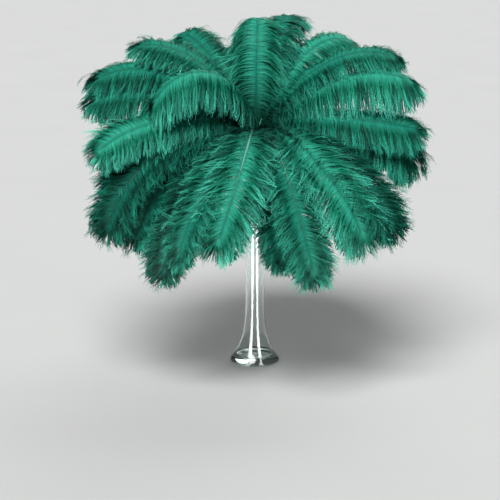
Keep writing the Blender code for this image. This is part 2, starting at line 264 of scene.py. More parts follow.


# ---------------------------------------- materials

# Dyed ostrich barbs: keratin takes the dye evenly and scatters light like fine wool, so the
# plume reads matt with a soft sheen. Colours run from the shaft, over mid barb, to the tip, and
# hold painted light: a painted highlight on the smooth band by the shaft and on the tips, and
# painted shade at the root and at mid barb. Each tone is a dye lot and also a lit or shaded
# copy: bright for plumes in the light in front, deep for plumes set back in shade.
DYE_AND_LIGHT_TONES = {
    "bright": ("#107a63", "#33a68b", "#06755a", "#50cfb3"),
    "mid": ("#0a6954", "#228b74", "#03614b", "#3ab398"),
    "deep": ("#054a3a", "#116655", "#034434", "#208a73"),
}
DYE_AND_LIGHT_STOPS = (0.0, 0.14, 0.42, 1.0)
BARB_STREAK = 2.2           # width of one streak of dye: two barbs, as one is too fine to show
LOCK_CHANGES, BARB_CHANGES = 1.5, 2.0   # how often the dye changes from shaft to tip
STRUNG_SHARES = (0.12, 0.6)     # between these, from shaft to tip, the strings of barbs part
# how far the random dye differences are widened there, as painted light on the strings and painted shade
# between them
STRUNG_DYE_AND_SHADE = (0.7, 2.0)
DYE_AND_SHADE_LIMITS = (0.25, 2.0)
CENTRE_SHADE_SHARES = (0.10, 0.48)     # along the plume, the short barbs by the quill lie deep in the arrangement and get painted shade
CENTRE_SHADE = 0.12                # and are this share as light
UNDER_SHARES = (0.08, 0.40)     # the broad barbs below close to an even surface by the shaft
UNDER_DYE_AND_SHADE = (0.85, 0.30)        # and lie in shade further out


def dyed_barbs_with_painted_light(tone, part, sizes):
    """The dyed barbs of one layer, with painted highlights and painted shade: their place along the shaft
    is read from that layer's strip.
    """
    name = f"dyed_ostrich_{part}_{tone}"
    if name in bpy.data.materials:
        return bpy.data.materials[name]
    material, tree, shader = new_material(name, {
        "Roughness": 0.55,
        "Specular IOR Level": 0.03 if part == "under" else 0.07,
        "Sheen Weight": 0.0 if part == "under" else 0.07,
        "Sheen Roughness": 0.4,
        "Sheen Tint": linear("#5fe0b8"),
    })

    def calc(operation, *values):
        node = add_node(tree, "ShaderNodeMath", dict(enumerate(values)), operation=operation)
        return node.outputs[0]

    place = add_node(tree, "ShaderNodeUVMap", uv_map=VANE_MAP).outputs[0]
    axes = add_node(tree, "ShaderNodeSeparateXYZ", {"Vector": place})
    # distance from the shaft, 0 at the shaft and 1 at the barb's tip, on either side
    share = calc("MULTIPLY", calc("ABSOLUTE", calc("SUBTRACT", axes.outputs[0], 0.5)), 2.0)
    # the ramp paints highlights on the band by the shaft and on the tips, and shade at the root and mid
    # barb
    ramp = add_node(tree, "ShaderNodeValToRGB", {"Fac": share})
    elements = ramp.color_ramp.elements
    while len(elements) < len(DYE_AND_LIGHT_STOPS):
        elements.new(0.5)
    for element, position, colour in zip(elements, DYE_AND_LIGHT_STOPS, DYE_AND_LIGHT_TONES[tone]):
        element.position, element.color = position, linear(colour)
    # dye takes a little differently from lock to lock, and from barb to barb
    low, high = MAP_STRIPS[part]
    cells = in_mm(sizes.plume_length) / (high - low)
    variation = []
    for changes, width in ((LOCK_CHANGES, in_mm(sizes.lock_width)), (BARB_CHANGES, BARB_STREAK)):
        stretched = add_node(tree, "ShaderNodeMapping", {"Vector": place,
                             "Scale": (changes, cells / width, 1.0)})
        variation.append(add_node(tree, "ShaderNodeTexNoise", {"Vector": stretched.outputs[0],
                         "Scale": 1.0, "Detail": 0.5}, noise_dimensions="2D").outputs[0])
    uneven = calc("SUBTRACT", calc("ADD", *variation), 1.0)
    # near the shaft the barbs lie close and even; further out the dye's random differences are
    # widened into painted light on the parting strings and painted shade in the gaps between them
    gain = calc("MULTIPLY_ADD", uneven, remap(tree, share, *STRUNG_SHARES, *STRUNG_DYE_AND_SHADE), 1.0)
    gain = add_node(tree, "ShaderNodeClamp", {0: gain, 1: DYE_AND_SHADE_LIMITS[0], 2: DYE_AND_SHADE_LIMITS[1]})
    # painted shade: darker towards the quill, deep in the middle of the arrangement
    shade_on_map = (low + limit * (high - low) for limit in CENTRE_SHADE_SHARES)
    centre_shade = remap(tree, axes.outputs[1], *shade_on_map, CENTRE_SHADE, interpolation_type="SMOOTHSTEP")
    # painted shade on the broad under barbs, deeper further out from the shaft, with a little more dye
    layer = remap(tree, share, *UNDER_SHARES, *(UNDER_DYE_AND_SHADE if part == "under" else (1.0, 1.0)))
    strength = calc("MULTIPLY", gain.outputs[0], calc("MULTIPLY", centre_shade, layer))
    scaled = add_node(tree, "ShaderNodeVectorMath", {0: ramp.outputs[0], 1: strength},
                      operation="MULTIPLY")
    tree.links.new(scaled.outputs[0], shader.inputs["Base Color"])
    return material


# Dyed rachis: smooth horn. Where the dye took well it is darker than the barbs; where it took
# badly the horn's own pale or pinkish grey shows as a thin line down the plume.
SHAFT_TONES = {
    "dark": ("#0a4a3a", "#1f6b57"),
    "dyed": ("#17735c", "#3f9c83"),
    "pale": ("#4c8f79", "#8fbcab"),
    "grey": ("#4b524c", "#7d7a73"),
}
SHAFT_STOUTNESS = {"dark": 0.8, "dyed": 0.85, "pale": 1.6, "grey": 0.75}
SHAFT_STREAKS = (5.0, 300.0)  # streaks along a whole shaft, and across the height of the map
QUILL_DYE = "#6d9a86"         # the thick hollow quill takes little dye
QUILL_SHARES = (0.06, 0.14)   # up to between these, along the shaft
SHAFT_END_DYE = "#0a5f4a"     # the thin end takes the dye best
THIN_SHARES = (0.35, 0.75)    # from between these


def dyed_shaft(tone):
    """Horn with lengthwise streaks, from the pale quill to the well dyed end."""
    name = f"horn_shaft_{tone}"
    if name in bpy.data.materials:
        return bpy.data.materials[name]
    material, tree, shader = new_material(name, {"Roughness": 0.38})
    place = add_node(tree, "ShaderNodeUVMap", uv_map=VANE_MAP)
    streaks = add_node(tree, "ShaderNodeMapping", {"Vector": place.outputs[0],
                       "Scale": (*SHAFT_STREAKS, 1.0)})
    streak = add_node(tree, "ShaderNodeTexNoise", {"Vector": streaks.outputs[0], "Scale": 1.0,
                      "Detail": 2.0}, noise_dimensions="2D")
    ramp = add_node(tree, "ShaderNodeValToRGB", {"Fac": streak.outputs[0]})
    for element, position, colour in zip(ramp.color_ramp.elements, (0.3, 0.7), SHAFT_TONES[tone]):
        element.position, element.color = position, linear(colour)
    axes = add_node(tree, "ShaderNodeSeparateXYZ", {"Vector": place.outputs[0]})
    thin = remap(tree, axes.outputs[0], *THIN_SHARES)
    dyed = add_node(tree, "ShaderNodeMix", {"Factor": thin, 6: ramp.outputs[0],
                    7: linear(SHAFT_END_DYE)}, data_type="RGBA")
    above = remap(tree, axes.outputs[0], *QUILL_SHARES)
    whole = add_node(tree, "ShaderNodeMix", {"Factor": above, 6: linear(QUILL_DYE),
                     7: dyed.outputs[2]}, data_type="RGBA")
    tree.links.new(whole.outputs[2], shader.inputs["Base Color"])
    return material


def clear_glass():
    # Clear soda-lime glass, blown and fire polished: sharp reflections, a faint cool edge.
    material, tree, shader = new_material("clear_soda_lime_glass", {
        "Base Color": linear("#f6fbfa"),
        "Roughness": 0.0,
        "IOR": 1.52,
        "Transmission Weight": 1.0,
    })
    place = add_node(tree, "ShaderNodeTexCoord")
    ripple = add_node(tree, "ShaderNodeTexNoise", {"Vector": place.outputs["Object"],
                      "Scale": 1 / (60 * MM), "Detail": 1.0})
    bump = add_node(tree, "ShaderNodeBump", {"Height": ripple.outputs[0], "Strength": 0.05,
                    "Distance": 0.5 * MM})
    tree.links.new(bump.outputs[0], shader.inputs["Normal"])
    # thick glass is faintly grey-green: it shows in the foot and where the eye runs along the wall
    body = add_node(tree, "ShaderNodeVolumeAbsorption", {"Color": linear("#cfe0dc"), "Density": 14.0})
    output = next(node for node in tree.nodes if node.type == "OUTPUT_MATERIAL")
    tree.links.new(body.outputs[0], output.inputs["Volume"])
    return material


def painted_floor(colour):
    # Matt emulsion on board: an even pale ground with the faintest roller mottle.
    looks = {"Roughness": 1.0, "Specular IOR Level": 0.0}
    material, tree, shader = new_material("matt_painted_board", looks)
    place = add_node(tree, "ShaderNodeTexCoord")
    mottle = add_node(tree, "ShaderNodeTexNoise", {"Vector": place.outputs["Object"],
                      "Scale": 1 / (400 * MM), "Detail": 3.0})
    shade = remap(tree, mottle.outputs[0], 0.0, 1.0, 0.97, 1.03)
    tone = add_node(tree, "ShaderNodeVectorMath", {0: tuple(colour), 1: shade}, operation="MULTIPLY")
    tree.links.new(tone.outputs[0], shader.inputs["Base Color"])
    return material


# ---------------------------------------- sizes a user would change

class PlumeSizes(PropertyGroup):
    lock_width: FloatProperty(name="Lock width", description="Width of the locks barbs gather in",
                              default=5 * MM, min=MM, unit="LENGTH")
    barbule_length: FloatProperty(name="Barbule length", description="Length of the fuzz on a barb",
                                  default=9 * MM, min=0.1 * MM, unit="LENGTH")
    barbule_width: FloatProperty(name="Barbule width", description="Width of one hair of fuzz",
                                 default=0.75 * MM, min=0.05 * MM, unit="LENGTH")
    barbules: IntProperty(name="Barbules", description="Hairs of fuzz along one barb", default=15, min=1)
    quill_radius: FloatProperty(name="Quill radius", description="Radius of a shaft in the vase",
                                default=1.9 * MM, min=0.2 * MM, unit="LENGTH")
    plume_length: FloatProperty(name="Plume length", description="Typical shaft length for patterns",
                                default=400 * MM, min=50 * MM, unit="LENGTH")


class VaseSizes(PropertyGroup):
    segments: IntProperty(name="Segments", description="Facets round the turned glass",
                          default=VASE_SEGMENTS, min=16)


class StageSizes(PropertyGroup):
    floor_size: FloatProperty(name="Floor size", description="Side of the square floor",
                              default=400.0, unit="LENGTH")
    floor_colour: FloatVectorProperty(name="Floor colour", description="Colour of the floor",
                                      subtype="COLOR", size=3, default=linear("#c2c3c2")[:3])


# ---------------------------------------- vase

def outer_radius(height):
    """The vase's outside: foot below, neck, then the trumpet mouth."""
    fall = max(height - FOOT_EDGE_HEIGHT, 0.0) / FOOT_FALL
    foot = (FOOT_RADIUS - NECK_RADIUS) * math.exp(-fall ** FOOT_FALL_POWER)
    rise = max(height - MOUTH_START, 0.0) / (VASE_HEIGHT - MOUTH_START)
    return NECK_RADIUS + foot + (MOUTH_RADIUS - NECK_RADIUS) * rise ** MOUTH_POWER


def vase_outline():
    """(radius, height) points: the hollow from its centre up, the rim, then down the outside."""
    heights = [FOOT_EDGE_HEIGHT + (FOOT_TOP - FOOT_EDGE_HEIGHT) * (step / FOOT_STEPS) ** FOOT_CROWDING
               for step in range(FOOT_STEPS + 1)]
    heights += [MOUTH_START + (VASE_HEIGHT - GLASS_WALL - MOUTH_START) * step / MOUTH_STEPS
                for step in range(MOUTH_STEPS + 1)]
    quarter = [math.pi / 2 * step / ROUND_STEPS for step in range(1, ROUND_STEPS + 1)]
    rim_round = GLASS_WALL / 2
    rim_centre = VASE_HEIGHT - rim_round
    floor_radius = outer_radius(INNER_BOTTOM) - GLASS_WALL
    points = [(0.0, GLASS_FLOOR)]
    for angle in quarter:
        fall = (INNER_BOTTOM - GLASS_FLOOR) * math.cos(angle) ** INNER_POWER
        points.append((floor_radius * math.sin(angle), INNER_BOTTOM - fall))
    points += [(outer_radius(h) - GLASS_WALL, h) for h in heights if h > INNER_BOTTOM + 1]
    for step in range(ROUND_STEPS + 1):
        angle = math.pi * (1.0 - step / ROUND_STEPS)
        radius = MOUTH_RADIUS - rim_round + rim_round * math.cos(angle)
        points.append((radius, rim_centre + rim_round * math.sin(angle)))
    points += [(outer_radius(h), h) for h in reversed(heights)]
    for angle in quarter:
        inset = FOOT_EDGE_ROUND * (1.0 - math.cos(angle))
        points.append((FOOT_RADIUS - inset, FOOT_EDGE_HEIGHT - FOOT_EDGE_ROUND * math.sin(angle)))
    points.append((0.0, 0.0))
    return points


def build_vase(sizes):
    """The outline turned about Z, as one plain mesh."""
    mesh = bpy.data.meshes.new("vase_glass")
    points = [(radius * MM, 0.0, height * MM) for radius, height in vase_outline()]
    mesh.from_pydata(points, [(i, i + 1) for i in range(len(points) - 1)], [])
    vase = bpy.data.objects.new("vase_glass", mesh)
    bpy.context.scene.collection.objects.link(vase)
    screw = vase.modifiers.new("turn", "SCREW")
    screw.steps = screw.render_steps = sizes.segments
    screw.use_merge_vertices = True
    screw.merge_threshold = 0.02 * MM
    screw.use_smooth_shade = True
    plain = bpy.data.meshes.new_from_object(vase.evaluated_get(bpy.context.evaluated_depsgraph_get()))
    vase.modifiers.clear()
    vase.data = plain
    plain.materials.clear()
    plain.materials.append(clear_glass())
    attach(vase, "root")
    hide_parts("vase")


# ---------------------------------------- plumes

def plume_names():
    """Each plume's frame node, in the order of PLUMES."""
    counts = dict.fromkeys(RING_RADII, 0)
    names = []
    for plume in PLUMES:
        counts[plume.group] += 1
        names.append(f"{plume.group}_{counts[plume.group]:02d}")
    return names


def quill_slots():
    """Where each quill stands in the neck: even places round its ring, in order of heading."""
    slots = {}
    for group, ring_radius in RING_RADII.items():
        members = [index for index, plume in enumerate(PLUMES) if plume.group == group]
        members.sort(key=lambda index: PLUMES[index].heading % 360)
        pitch = 2 * math.pi / len(members)
        turns = [math.radians(PLUMES[index].heading % 360) - order * pitch
                 for order, index in enumerate(members)]
        start = math.atan2(sum(map(math.sin, turns)), sum(map(math.cos, turns)))
        for order, index in enumerate(members):
            angle = start + order * pitch
            slots[index] = (ring_radius * math.cos(angle), ring_radius * math.sin(angle))
    return slots


def quill_bottom(slot):
    """Height of a quill's cut end, which differs from one place in the neck to the next."""
    wave = math.sin(UNEVEN_WAVES[0] * slot[0] + UNEVEN_WAVES[1] * slot[1])
    return QUILL_BOTTOM + QUILL_UNEVEN * (0.5 + 0.5 * wave)


def centre_line(plume, slot):
    """Fine points, run directions and side directions of the shaft above the bend's start."""
    run = np.linspace(0.0, plume.length, LINE_STEPS + 1)
    share = run / plume.length
    quick = (1 - np.exp(-run / BEND_LENGTH)) / (1 - math.exp(-plume.length / BEND_LENGTH))
    lean = math.radians(plume.lean) * (plume.snap * quick + (1 - plume.snap) * share ** plume.late)
    heading = np.radians(plume.heading + plume.swing * share ** 2)
    along = np.stack([np.sin(lean) * np.cos(heading), np.sin(lean) * np.sin(heading), np.cos(lean)], 1)
    level = np.stack([-np.sin(heading), np.cos(heading), np.zeros_like(heading)], 1)
    roll = np.radians(plume.roll * share * (2 - share))[:, None]
    side = level * np.cos(roll) + np.cross(along, level) * np.sin(roll)
    steps = (along[1:] + along[:-1]) / 2 * (plume.length / LINE_STEPS)
    points = np.vstack([np.zeros(3), np.cumsum(steps, axis=0)])
    return run, points + np.array([*slot, BEND_START]), along, side


def read_line(at, run, line):
    """A line's points or directions at these distances along it."""
    return np.stack([np.interp(at, run, line[:, axis]) for axis in range(3)], 1)


def wander(rng, reached, count, size):
    """Smooth random bends, from none at the shaft to full size at the tip: (count, point, xyz)."""
    bend, wave = rng.standard_normal((2, count, 1, 3)) * size
    turns = rng.uniform(*WAVE_TURNS, (count, 1, 1))
    out = reached[None, :, None]
    return bend * out ** 2 + wave * np.sin(turns * out) * np.sqrt(out)


def place_barbs(plume, pitch, rng):
    """Where along the shaft one side's barbs leave it."""
    fine = np.linspace(BARE_SHARE * plume.length, SHAFT_END * plume.length, LINE_STEPS)
    crowding = np.interp(fine / plume.length, CROWDING_AT, CROWDING)
    grown_by = np.concatenate([[0.0], np.cumsum((crowding[1:] + crowding[:-1]) / 2 * np.diff(fine))])
    count = int(grown_by[-1] / pitch)
    order = np.arange(count) + 0.5 + BARB_JITTER * (rng.random(count) - 0.5)
    return np.interp(order / count * grown_by[-1], grown_by, fine)


def gather_locks(plume, at, usual_width, rng):
    """The locks' edges, then for each barb its lock, that lock's half width and its place in it."""
    edges = [BARE_SHARE * plume.length]
    while edges[-1] < SHAFT_END * plume.length:
        closer = np.interp(edges[-1] / plume.length, CROWDING_AT, CROWDING)
        edges.append(edges[-1] + usual_width * rng.uniform(*LOCK_WIDTHS) / closer)
    edges = np.array(edges)
    lock = np.clip(np.searchsorted(edges, at) - 1, 0, len(edges) - 2)
    half = (edges[lock + 1] - edges[lock]) / 2
    return edges, lock, half, (at - (edges[lock] + half)) / half


def map_barbs(share, reached, sign, part):
    """The places of one side's barbs on the plume's map: (barb, point, across and up)."""
    across = 0.5 + sign * (MAP_MARGIN / 2 + (0.5 - MAP_MARGIN) * reached)
    low, high = MAP_STRIPS[part]
    up = low + share * (high - low)
    return np.stack(np.broadcast_arrays(across[None, :], up[:, None]), 2)


def barb_paths(plume, slot, sign, layer, sizes, rng):
    """Points, facing directions, widths, map places, fuzz and part of one side's barbs, by barb."""
    run, points, along, side = centre_line(plume, slot)
    at = place_barbs(plume, layer.pitch, rng)
    count = len(at)
    share = at / plume.length
    root = read_line(at, run, points)
    ahead = unit(read_line(at, run, along))
    across = unit(read_line(at, run, side)) * sign
    up = unit(np.cross(ahead, across)) * sign
    edges, lock, half, place = gather_locks(plume, at, in_mm(sizes.lock_width), rng)

    def stray(by_lock, by_barb):
        shared = (rng.standard_normal(len(edges)) * by_lock * layer.locks)[lock]
        return shared + rng.standard_normal(count) * by_barb

    hanging = plume.group == "drooping"
    spread = HANGING_SPREAD if hanging else 1.0
    angle = np.radians(np.interp(share, GROWTH_AT, GROWTH_ANGLE) * spread + stray(*ANGLE_STRAY))
    lift = np.radians(layer.lift + stray(*LIFT_STRAY))
    weight = plume.drape * HANGING_PULL if hanging else plume.drape + EXTRA_PULL
    pull = weight * np.clip(1 + stray(*PULL_STRAY), *PULL_LIMITS)
    grown = np.interp(share, GROWTH_AT, GROWTH_LENGTH) * layer.length
    length = plume.reach * grown * np.clip(1 + stray(*LENGTH_STRAY), *LENGTH_LIMITS)

    out = across * np.cos(lift)[:, None] + up * np.sin(lift)[:, None]
    launch = ahead * np.cos(angle)[:, None] + out * np.sin(angle)[:, None]
    curl_way = unit(rng.standard_normal((len(edges), 3)))[lock] * CURL_AT_RANDOM
    curl_way += ahead * CURL_AHEAD - up * CURL_UNDER
    curl = curl_way * (layer.curl * np.clip(1 + stray(*CURL_STRAY), *CURL_LIMITS))[:, None]
    reached = np.linspace(0, 1, BARB_POINTS) ** POINT_POWER
    path, facing = [], []
    tip = root
    for step in range(BARB_POINTS):
        before = reached[max(step - 1, 0)]
        middle = (reached[step] + before) / 2
        fall = np.array([0, 0, -1.0]) * (pull * middle * length / DRAPE_SPAN)[:, None]
        direction = unit(launch + fall + curl * middle ** CURL_POWER)
        tip = tip + direction * ((reached[step] - before) * length)[:, None]
        path.append(tip)
        normal = unit(np.cross(ahead, direction)) * sign
        roll = np.radians(LOCK_ROUNDING) * place * reached[step] * layer.locks
        roll += rng.standard_normal(count) * BARB_TWIST
        facing.append(normal * np.cos(roll)[:, None] + np.cross(direction, normal) * np.sin(roll)[:, None])
    path, facing = np.stack(path, 1), np.stack(facing, 1)
    close = (rng.standard_normal(len(edges)) * CLOSING_SPREAD * layer.locks)[lock]
    close = layer.clumping * np.clip(1 + close, *CLOSING_LIMITS)
    closed = (place * half * close)[:, None, None] * (reached ** CLOSING_POWER)[None, :, None]
    path -= ahead[:, None, :] * closed
    bulge = (1 - place ** 2) * LOCK_BULGE * layer.locks
    path += up[:, None, :] * bulge[:, None, None] * np.sin(math.pi / 2 * reached)[None, :, None]
    loose = HANGING_WANDER if hanging else 1.0
    path += wander(rng, reached, len(edges), LOCK_SWAY * layer.locks * loose)[lock]
    path += wander(rng, reached, count, layer.frizz * loose)
    width = np.interp(reached, BARB_WIDTH_AT, (layer.root, layer.root, 1.0, layer.tip))
    width = np.repeat(width[None, :], count, 0) * layer.width
    maps = map_barbs(share, reached, sign, layer.part)
    fuzz = np.interp(share, YOUNG_SHARES, YOUNG_FUZZ)[:, None] * np.interp(reached, FUZZ_AT, FUZZ)
    part = np.full((count, BARB_POINTS), PART_CODES[layer.part])
    return path, facing, width, maps, fuzz, part


def shaft_path(plume, slot, sizes):
    """Points, widths and places of the shaft, from the quill's foot to its fine end."""
    run, points, _, side = centre_line(plume, slot)
    at = np.linspace(0, SHAFT_END * plume.length, SHAFT_POINTS)
    path = read_line(at, run, points)
    foot = path[:1] + np.array([[0, 0, quill_bottom(slot) - BEND_START]])
    path = np.vstack([foot, foot + [[0, 0, QUILL_CUT]], path])
    share = np.concatenate([[0, 0], at / plume.length])
    radius = np.interp(share, SHAFT_AT, SHAFT_TAPER) * in_mm(sizes.quill_radius)
    radius *= np.interp(share, STOUT_SHARES, (1.0, SHAFT_STOUTNESS[plume.shaft]))
    radius[0] *= CUT_TAPER
    facing = np.vstack([side[:1], side[:1], unit(read_line(at, run, side))])
    middle = sum(MAP_STRIPS["shaft"]) / 2
    along_map = np.interp(share, (0, 1), (MAP_MARGIN, 1 - MAP_MARGIN))
    maps = np.stack([along_map, np.full(len(share), middle)], 1)
    return path, facing, radius, maps


def fibre_skeleton(name, plume, slot, sizes, rng):
    """A mesh of edges only: every barb and the shaft as chains that carry their own attributes."""
    chains = [barb_paths(plume, slot, sign, layer, sizes, rng) for layer in LAYERS for sign in (1.0, -1.0)]
    path, facing, width, maps, fuzz, part = (np.concatenate(parts) for parts in zip(*chains))
    count = len(path)
    shaft, shaft_facing, shaft_radius, shaft_maps = shaft_path(plume, slot, sizes)
    vertices = np.vstack([path.reshape(-1, 3), shaft]) * MM
    first = np.arange(count)[:, None] * BARB_POINTS + np.arange(BARB_POINTS - 1)[None, :]
    edges = np.stack([first, first + 1], 2).reshape(-1, 2)
    along_shaft = count * BARB_POINTS + np.arange(len(shaft) - 1)
    edges = np.vstack([edges, np.stack([along_shaft, along_shaft + 1], 1)])
    mesh = bpy.data.meshes.new(name)
    mesh.vertices.add(len(vertices))
    mesh.vertices.foreach_set("co", vertices.astype(np.float32).ravel())
    mesh.edges.add(len(edges))
    mesh.edges.foreach_set("vertices", edges.astype(np.int32).ravel())
    values = {
        "facing": ("FLOAT_VECTOR", np.vstack([facing.reshape(-1, 3), shaft_facing])),
        "thickness": ("FLOAT", np.concatenate([width.ravel(), shaft_radius]) * MM),
        "place": ("FLOAT_VECTOR", np.pad(np.vstack([maps.reshape(-1, 2), shaft_maps]), ((0, 0), (0, 1)))),
        "fuzz": ("FLOAT", np.concatenate([fuzz.ravel(), np.zeros(len(shaft))])),
        "part": ("FLOAT", np.concatenate([part.ravel(), np.full(len(shaft), PART_CODES["shaft"])])),
    }
    for attribute, (kind, data) in values.items():
        field = "vector" if kind == "FLOAT_VECTOR" else "value"
        stored = mesh.attributes.new(attribute, kind, "POINT")
        stored.data.foreach_set(field, data.astype(np.float32).ravel())
    return mesh


def fibre_tree():
    """Geometry Nodes that turn the chains into ribbons of barb, hairs of fuzz and a round shaft."""
    name = "plume_fibres"
    if name in bpy.data.node_groups:
        return bpy.data.node_groups[name]
    tree = bpy.data.node_groups.new(name, "GeometryNodeTree")
    face = tree.interface
    face.new_socket("Geometry", in_out="INPUT", socket_type="NodeSocketGeometry")
    for label, kind in (("Barbule Length", "Float"), ("Barbule Width", "Float"), ("Barbules", "Int"),
                        ("Map Size", "Float"), ("Seed", "Int"), ("Lock Material", "Material"),
                        ("Under Material", "Material"), ("Shaft Material", "Material")):
        face.new_socket(label, in_out="INPUT", socket_type=f"NodeSocket{kind}")
    face.new_socket("Geometry", in_out="OUTPUT", socket_type="NodeSocketGeometry")
    given = add_node(tree, "NodeGroupInput").outputs

    def read(attribute, kind="FLOAT"):
        node = add_node(tree, "GeometryNodeInputNamedAttribute", {"Name": attribute}, data_type=kind)
        return node.outputs[0]

    def keep_spot(geometry):
        """The same with each point's place in this small shape stored, for the map."""
        here = add_node(tree, "GeometryNodeInputPosition").outputs[0]
        links = {"Geometry": geometry, "Name": "spot", "Value": here}
        return add_node(tree, "GeometryNodeStoreNamedAttribute", links,
                        data_type="FLOAT_VECTOR", domain="POINT").outputs[0]

    def divide(curves, code):
        """The curves whose part has this code or a higher one, and the rest."""
        chosen = add_node(tree, "FunctionNodeCompare", {0: read("part"), 1: code - 0.5},
                          data_type="FLOAT", operation="GREATER_THAN")
        return add_node(tree, "GeometryNodeSeparateGeometry", {"Geometry": curves,
                        "Selection": chosen.outputs[0]}, domain="CURVE").outputs

    def join(*parts):
        node = add_node(tree, "GeometryNodeJoinGeometry")
        for part in parts:
            tree.links.new(part, node.inputs[0])
        return node.outputs[0]

    def coat(geometry, label):
        node = add_node(tree, "GeometryNodeSetMaterial", {"Geometry": geometry, "Material": given[label]})
        return node.outputs[0]

    chains = add_node(tree, "GeometryNodeMeshToCurve", {"Mesh": given["Geometry"]})
    turned = add_node(tree, "GeometryNodeSetCurveNormal", {"Curve": chains.outputs[0],
                      "Normal": read("facing", "FLOAT_VECTOR")}, mode="FREE")
    shaft_curves, vane_curves = divide(turned.outputs[0], PART_CODES["shaft"])
    under_curves, lock_curves = divide(vane_curves, PART_CODES["under"])

    # barbs: a flat strip carried along each chain
    strip = add_node(tree, "GeometryNodeCurvePrimitiveLine", {"Start": (0, -0.5, 0), "End": (0, 0.5, 0)})
    flat = keep_spot(strip.outputs[0])
    under, barbs = (add_node(tree, "GeometryNodeCurveToMesh", {"Curve": curves, "Profile Curve": flat,
                    "Scale": read("thickness")}) for curves in (under_curves, lock_curves))

    # shaft: a round rod that thins towards its end
    circle = add_node(tree, "GeometryNodeCurvePrimitiveCircle", {"Resolution": SHAFT_SIDES, "Radius": 1.0})
    shaft = add_node(tree, "GeometryNodeCurveToMesh", {"Curve": shaft_curves, "Fill Caps": True,
                     "Profile Curve": keep_spot(circle.outputs[0]), "Scale": read("thickness")})

    # fuzz: slim three-cornered hairs that lean out and forward on both sides of each barb;
    # the triangle is 1 wide and 1 long, with its base at the barb
    triangle = add_node(tree, "GeometryNodeMeshCircle", {"Vertices": 3, "Radius": 1.0}, fill_type="NGON")
    unit_hair = add_node(tree, "GeometryNodeTransform", {"Geometry": triangle.outputs[0],
                         "Translation": (0.0, 0.3333, 0), "Scale": (0.57735, 0.66667, 1.0)})
    hair_size = add_node(tree, "ShaderNodeCombineXYZ", {0: given["Barbule Width"],
                         1: given["Barbule Length"], 2: 1.0})
    hair = add_node(tree, "GeometryNodeTransform", {"Geometry": keep_spot(unit_hair.outputs[0]),
                    "Scale": hair_size.outputs[0]})
    spots = add_node(tree, "GeometryNodeCurveToPoints", {"Curve": lock_curves,
                     "Count": given["Barbules"]}, mode="COUNT")
    sideways = add_node(tree, "FunctionNodeRandomValue", {"Probability": 0.5, "Seed": given["Seed"]},
                        data_type="BOOLEAN")
    sign = remap(tree, sideways.outputs[3], 0.0, 1.0, -1.0, 1.0)
    lean = add_node(tree, "FunctionNodeRandomValue", {0: HAIR_LEAN[0], 1: HAIR_LEAN[1],
                    "Seed": given["Seed"]}, data_type="FLOAT_VECTOR")
    mirror = add_node(tree, "ShaderNodeCombineXYZ", {0: 1.0, 1: sign, 2: 1.0})
    sided = add_node(tree, "ShaderNodeVectorMath", {0: lean.outputs[0], 1: mirror.outputs[0]},
                     operation="MULTIPLY")
    hair_way = add_node(tree, "FunctionNodeRotateVector", {"Vector": sided.outputs[0],
                        "Rotation": spots.outputs["Rotation"]})
    turn = add_node(tree, "FunctionNodeAxesToRotation", {"Primary Axis": hair_way.outputs[0],
                    "Secondary Axis": spots.outputs["Normal"]}, primary_axis="Y", secondary_axis="Z")
    size = add_node(tree, "FunctionNodeRandomValue", {2: HAIR_SIZES[0], 3: HAIR_SIZES[1],
                    "Seed": given["Seed"]}, data_type="FLOAT")
    grown = add_node(tree, "ShaderNodeMath", {0: size.outputs[1], 1: read("fuzz")}, operation="MULTIPLY")
    growth = add_node(tree, "ShaderNodeCombineXYZ", {0: 1.0, 1: grown.outputs[0], 2: 1.0})
    hairs = add_node(tree, "GeometryNodeInstanceOnPoints", {"Points": spots.outputs[0],
                     "Instance": hair.outputs[0], "Rotation": turn.outputs[0], "Scale": growth.outputs[0]})
    fuzz = add_node(tree, "GeometryNodeRealizeInstances", {"Geometry": hairs.outputs[0]})

    whole = join(coat(shaft.outputs[0], "Shaft Material"), coat(under.outputs[0], "Under Material"),
                 coat(join(fuzz.outputs[0], barbs.outputs[0]), "Lock Material"))

    # the plume's map: where on the plume each fibre grows, spread by the fibre's own small size
    spread = add_node(tree, "ShaderNodeCombineXYZ", {0: given["Map Size"], 1: given["Map Size"], 2: 0.0})
    offset = add_node(tree, "ShaderNodeVectorMath", {0: read("spot", "FLOAT_VECTOR"), 1: spread.outputs[0]},
                      operation="MULTIPLY")
    placed = add_node(tree, "ShaderNodeVectorMath", {0: read("place", "FLOAT_VECTOR"),
                      1: offset.outputs[0]}, operation="ADD")
    mapped = add_node(tree, "GeometryNodeStoreNamedAttribute", {"Geometry": whole,
                      "Name": VANE_MAP, "Value": placed.outputs[0]}, data_type="FLOAT2", domain="CORNER")
    smooth = add_node(tree, "GeometryNodeSetShadeSmooth", {"Geometry": mapped.outputs[0]})
    solid = add_node(tree, "GeometryNodeRealizeInstances", {"Geometry": smooth.outputs[0]})
    add_node(tree, "NodeGroupOutput", {0: solid.outputs[0]})
    return tree


